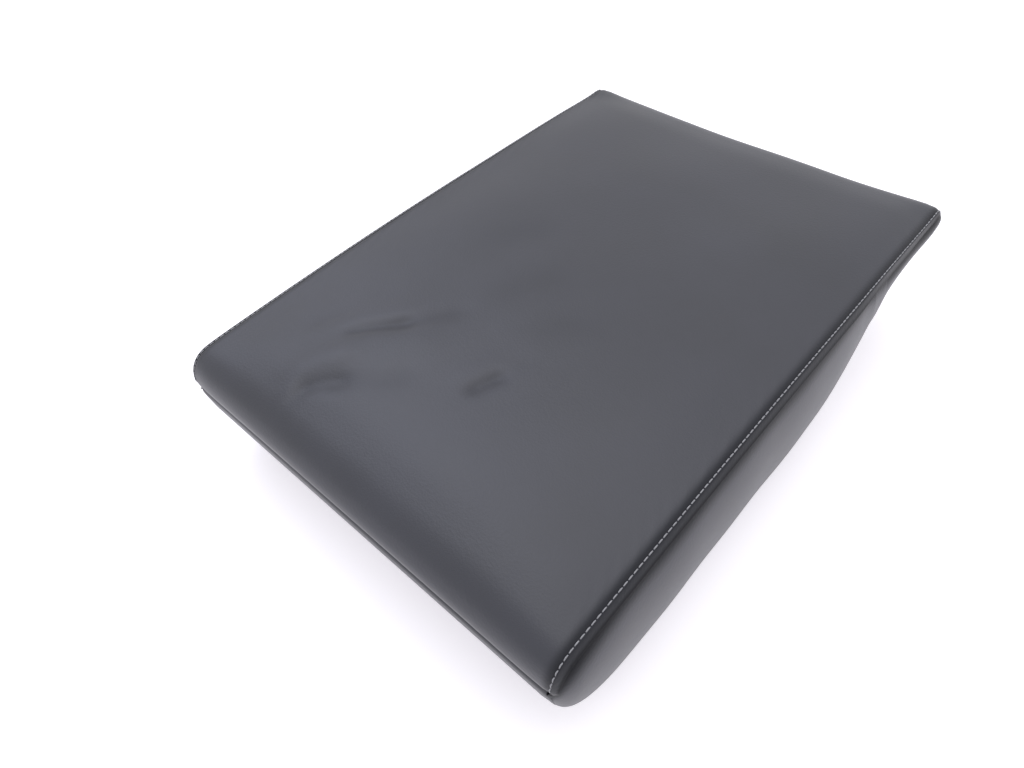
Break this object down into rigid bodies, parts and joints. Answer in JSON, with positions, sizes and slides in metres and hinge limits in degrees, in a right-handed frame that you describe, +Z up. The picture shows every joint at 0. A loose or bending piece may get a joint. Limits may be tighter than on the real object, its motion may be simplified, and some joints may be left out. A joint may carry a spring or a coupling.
{
  "type": "rear seat armrest",
  "caption": "Fold-down centre armrest for a car's rear seat: deep grey leather cushion with topstitched side seams, a thin rear lip and a hinge bracket under it.",
  "frame": {"origin": "centre of the bounding box at the underside that lies on the table", "axes": "+X to the right across the armrest, +Y to the rear lip and hinge, +Z up"},
  "size_m": [0.278, 0.3848, 0.0898],
  "materials": {
    "leather_grey": "fine-grained upholstery leather",
    "foam": "moulded seat foam",
    "steel_black": "black dipped paint",
    "steel_zinc": "zinc plated",
    "plastic_black": "moulded, fine grain",
    "bush_plastic": "moulded, smooth",
    "rubber_black": "moulded rubber"
  },
  "bodies": {
    "bracket": {"hinge_bracket": "steel_black", "stop_bumper_left": "rubber_black", "stop_bumper_right": "rubber_black", "pivot_pin_left": "steel_zinc", "pivot_pin_right": "steel_zinc", "retaining_ring_left": "steel_zinc", "retaining_ring_right": "steel_zinc", "spring_washer_left": "steel_zinc", "spring_washer_right": "steel_zinc"},
    "armrest": {"top_panel": "leather_grey", "bottom_panel": "leather_grey", "left_side_panel": "leather_grey", "right_side_panel": "leather_grey", "top_foam": "foam", "lower_foam": "foam", "frame_tube": "steel_black", "rear_rail": "steel_black", "hinge_arm_left": "steel_black", "hinge_arm_right": "steel_black", "arm_bolts": "steel_zinc", "weld_nuts": "steel_zinc", "board_screws": "steel_zinc", "cover_screws": "steel_zinc", "lip_board": "plastic_black", "rear_cover": "plastic_black", "pivot_bush_left": "bush_plastic", "pivot_bush_right": "bush_plastic"}
  },
  "joints": [
    {"name": "fold", "type": "hinge", "parent": "bracket", "child": "armrest", "pos_m": [0, 0.166, 0.041], "axis": [-1, 0, 0], "range_deg": [0, 100]}
  ]
}
